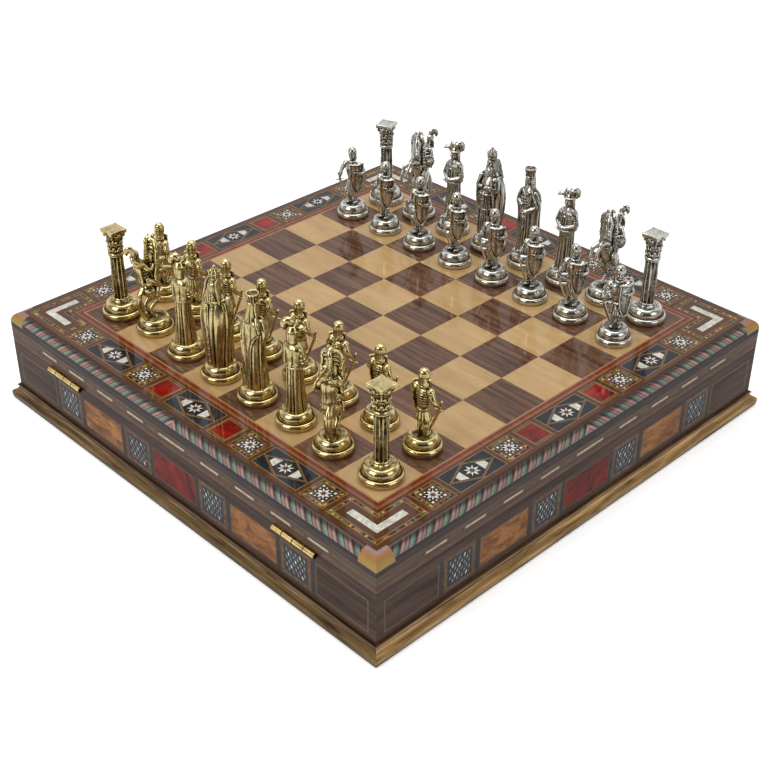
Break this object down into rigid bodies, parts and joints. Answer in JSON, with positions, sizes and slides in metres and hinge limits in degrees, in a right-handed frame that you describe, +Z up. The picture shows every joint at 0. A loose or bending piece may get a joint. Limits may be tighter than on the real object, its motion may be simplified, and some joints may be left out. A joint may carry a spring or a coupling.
{
  "type": "chess set",
  "caption": "Hinged marquetry games box whose lid is an inlaid chessboard, with gilt and silvered cast figure chessmen standing in their starting order",
  "frame": {"origin": "middle of the plinth's underside", "axes": "+Z up; +X from the gilt army to the silvered one, away from the hinges; +Y along the ranks, parallel to the hinge axis"},
  "size_m": [0.3938, 0.3938, 0.1587],
  "materials": {
    "walnut": "glossy lacquered walnut",
    "lid_core": "plain sawn plywood",
    "light_veneer": "glossy lacquered maple veneer",
    "dark_veneer": "glossy lacquered walnut veneer",
    "red_string": "dyed veneer stringing under lacquer",
    "star_mosaic": "micro mosaic under lacquer",
    "diamond_mosaic": "micro mosaic under lacquer",
    "red_veneer": "dyed veneer under lacquer",
    "corner_mosaic": "micro mosaic under lacquer",
    "pearl": "polished mother of pearl",
    "striped_wood": "laminated striped moulding under lacquer",
    "orange_burl": "dyed burl veneer under lacquer",
    "side_mosaic": "micro mosaic under lacquer",
    "tan_string": "light veneer string under lacquer",
    "lining": "short red velvet",
    "hinge_brass": "polished brass",
    "gilt": "cast metal with a burnished gilt face and dark recesses",
    "silvered": "cast metal with a burnished silver face and dark recesses"
  },
  "bodies": {
    "box": {"box_walls": "walnut", "side_mosaics": "side_mosaic", "side_burl_panels": "orange_burl", "side_red_panels": "red_veneer", "side_string_frames": "tan_string", "base_panel": "lid_core", "floor_lining": "lining", "plinth_mouldings": "walnut", "hinge_leaves_box": "hinge_brass", "hinge_pins": "hinge_brass", "hinge_screws_box": "hinge_brass"},
    "lid": {"lid_panel": "lid_core", "light_squares": "light_veneer", "dark_squares": "dark_veneer", "red_stringing": "red_string", "border_ground": "walnut", "star_tiles": "star_mosaic", "diamond_tiles": "diamond_mosaic", "red_tiles": "red_veneer", "corner_tiles": "corner_mosaic", "pearl_chevrons": "pearl", "striped_edge": "striped_wood", "burl_corner_blocks": "orange_burl", "pearl_dashes": "pearl", "lid_rails": "walnut", "lid_lining": "lining", "hinge_leaves_lid": "hinge_brass", "hinge_screws_lid": "hinge_brass"},
    "gold_near_rook": {"gold_near_rook": "gilt"},
    "gold_near_knight": {"gold_near_knight": "gilt"},
    "gold_near_bishop": {"gold_near_bishop": "gilt"},
    "gold_queen": {"gold_queen": "gilt"},
    "gold_king": {"gold_king": "gilt"},
    "gold_far_bishop": {"gold_far_bishop": "gilt"},
    "gold_far_knight": {"gold_far_knight": "gilt"},
    "gold_far_rook": {"gold_far_rook": "gilt"},
    "gold_pawn_1": {"gold_pawn_1": "gilt"},
    "gold_pawn_2": {"gold_pawn_2": "gilt"},
    "gold_pawn_3": {"gold_pawn_3": "gilt"},
    "gold_pawn_4": {"gold_pawn_4": "gilt"},
    "gold_pawn_5": {"gold_pawn_5": "gilt"},
    "gold_pawn_6": {"gold_pawn_6": "gilt"},
    "gold_pawn_7": {"gold_pawn_7": "gilt"},
    "gold_pawn_8": {"gold_pawn_8": "gilt"},
    "silver_near_rook": {"silver_near_rook": "silvered"},
    "silver_near_knight": {"silver_near_knight": "silvered"},
    "silver_near_bishop": {"silver_near_bishop": "silvered"},
    "silver_queen": {"silver_queen": "silvered"},
    "silver_king": {"silver_king": "silvered"},
    "silver_far_bishop": {"silver_far_bishop": "silvered"},
    "silver_far_knight": {"silver_far_knight": "silvered"},
    "silver_far_rook": {"silver_far_rook": "silvered"},
    "silver_pawn_1": {"silver_pawn_1": "silvered"},
    "silver_pawn_2": {"silver_pawn_2": "silvered"},
    "silver_pawn_3": {"silver_pawn_3": "silvered"},
    "silver_pawn_4": {"silver_pawn_4": "silvered"},
    "silver_pawn_5": {"silver_pawn_5": "silvered"},
    "silver_pawn_6": {"silver_pawn_6": "silvered"},
    "silver_pawn_7": {"silver_pawn_7": "silvered"},
    "silver_pawn_8": {"silver_pawn_8": "silvered"}
  },
  "joints": [
    {"name": "lid_hinge", "type": "hinge", "parent": "box", "child": "lid", "pos_m": [-0.19325, 0, 0.0496], "axis": [0, -1, 0], "range_deg": [0, 100]},
    {"name": "gold_near_rook_lift", "type": "slide", "parent": "lid", "child": "gold_near_rook", "axis": [0, 0, 1], "range_m": [0, 0.1]},
    {"name": "gold_near_knight_lift", "type": "slide", "parent": "lid", "child": "gold_near_knight", "axis": [0, 0, 1], "range_m": [0, 0.1]},
    {"name": "gold_near_bishop_lift", "type": "slide", "parent": "lid", "child": "gold_near_bishop", "axis": [0, 0, 1], "range_m": [0, 0.1]},
    {"name": "gold_queen_lift", "type": "slide", "parent": "lid", "child": "gold_queen", "axis": [0, 0, 1], "range_m": [0, 0.1]},
    {"name": "gold_king_lift", "type": "slide", "parent": "lid", "child": "gold_king", "axis": [0, 0, 1], "range_m": [0, 0.1]},
    {"name": "gold_far_bishop_lift", "type": "slide", "parent": "lid", "child": "gold_far_bishop", "axis": [0, 0, 1], "range_m": [0, 0.1]},
    {"name": "gold_far_knight_lift", "type": "slide", "parent": "lid", "child": "gold_far_knight", "axis": [0, 0, 1], "range_m": [0, 0.1]},
    {"name": "gold_far_rook_lift", "type": "slide", "parent": "lid", "child": "gold_far_rook", "axis": [0, 0, 1], "range_m": [0, 0.1]},
    {"name": "gold_pawn_1_lift", "type": "slide", "parent": "lid", "child": "gold_pawn_1", "axis": [0, 0, 1], "range_m": [0, 0.1]},
    {"name": "gold_pawn_2_lift", "type": "slide", "parent": "lid", "child": "gold_pawn_2", "axis": [0, 0, 1], "range_m": [0, 0.1]},
    {"name": "gold_pawn_3_lift", "type": "slide", "parent": "lid", "child": "gold_pawn_3", "axis": [0, 0, 1], "range_m": [0, 0.1]},
    {"name": "gold_pawn_4_lift", "type": "slide", "parent": "lid", "child": "gold_pawn_4", "axis": [0, 0, 1], "range_m": [0, 0.1]},
    {"name": "gold_pawn_5_lift", "type": "slide", "parent": "lid", "child": "gold_pawn_5", "axis": [0, 0, 1], "range_m": [0, 0.1]},
    {"name": "gold_pawn_6_lift", "type": "slide", "parent": "lid", "child": "gold_pawn_6", "axis": [0, 0, 1], "range_m": [0, 0.1]},
    {"name": "gold_pawn_7_lift", "type": "slide", "parent": "lid", "child": "gold_pawn_7", "axis": [0, 0, 1], "range_m": [0, 0.1]},
    {"name": "gold_pawn_8_lift", "type": "slide", "parent": "lid", "child": "gold_pawn_8", "axis": [0, 0, 1], "range_m": [0, 0.1]},
    {"name": "silver_near_rook_lift", "type": "slide", "parent": "lid", "child": "silver_near_rook", "axis": [0, 0, 1], "range_m": [0, 0.1]},
    {"name": "silver_near_knight_lift", "type": "slide", "parent": "lid", "child": "silver_near_knight", "axis": [0, 0, 1], "range_m": [0, 0.1]},
    {"name": "silver_near_bishop_lift", "type": "slide", "parent": "lid", "child": "silver_near_bishop", "axis": [0, 0, 1], "range_m": [0, 0.1]},
    {"name": "silver_queen_lift", "type": "slide", "parent": "lid", "child": "silver_queen", "axis": [0, 0, 1], "range_m": [0, 0.1]},
    {"name": "silver_king_lift", "type": "slide", "parent": "lid", "child": "silver_king", "axis": [0, 0, 1], "range_m": [0, 0.1]},
    {"name": "silver_far_bishop_lift", "type": "slide", "parent": "lid", "child": "silver_far_bishop", "axis": [0, 0, 1], "range_m": [0, 0.1]},
    {"name": "silver_far_knight_lift", "type": "slide", "parent": "lid", "child": "silver_far_knight", "axis": [0, 0, 1], "range_m": [0, 0.1]},
    {"name": "silver_far_rook_lift", "type": "slide", "parent": "lid", "child": "silver_far_rook", "axis": [0, 0, 1], "range_m": [0, 0.1]},
    {"name": "silver_pawn_1_lift", "type": "slide", "parent": "lid", "child": "silver_pawn_1", "axis": [0, 0, 1], "range_m": [0, 0.1]},
    {"name": "silver_pawn_2_lift", "type": "slide", "parent": "lid", "child": "silver_pawn_2", "axis": [0, 0, 1], "range_m": [0, 0.1]},
    {"name": "silver_pawn_3_lift", "type": "slide", "parent": "lid", "child": "silver_pawn_3", "axis": [0, 0, 1], "range_m": [0, 0.1]},
    {"name": "silver_pawn_4_lift", "type": "slide", "parent": "lid", "child": "silver_pawn_4", "axis": [0, 0, 1], "range_m": [0, 0.1]},
    {"name": "silver_pawn_5_lift", "type": "slide", "parent": "lid", "child": "silver_pawn_5", "axis": [0, 0, 1], "range_m": [0, 0.1]},
    {"name": "silver_pawn_6_lift", "type": "slide", "parent": "lid", "child": "silver_pawn_6", "axis": [0, 0, 1], "range_m": [0, 0.1]},
    {"name": "silver_pawn_7_lift", "type": "slide", "parent": "lid", "child": "silver_pawn_7", "axis": [0, 0, 1], "range_m": [0, 0.1]},
    {"name": "silver_pawn_8_lift", "type": "slide", "parent": "lid", "child": "silver_pawn_8", "axis": [0, 0, 1], "range_m": [0, 0.1]}
  ]
}
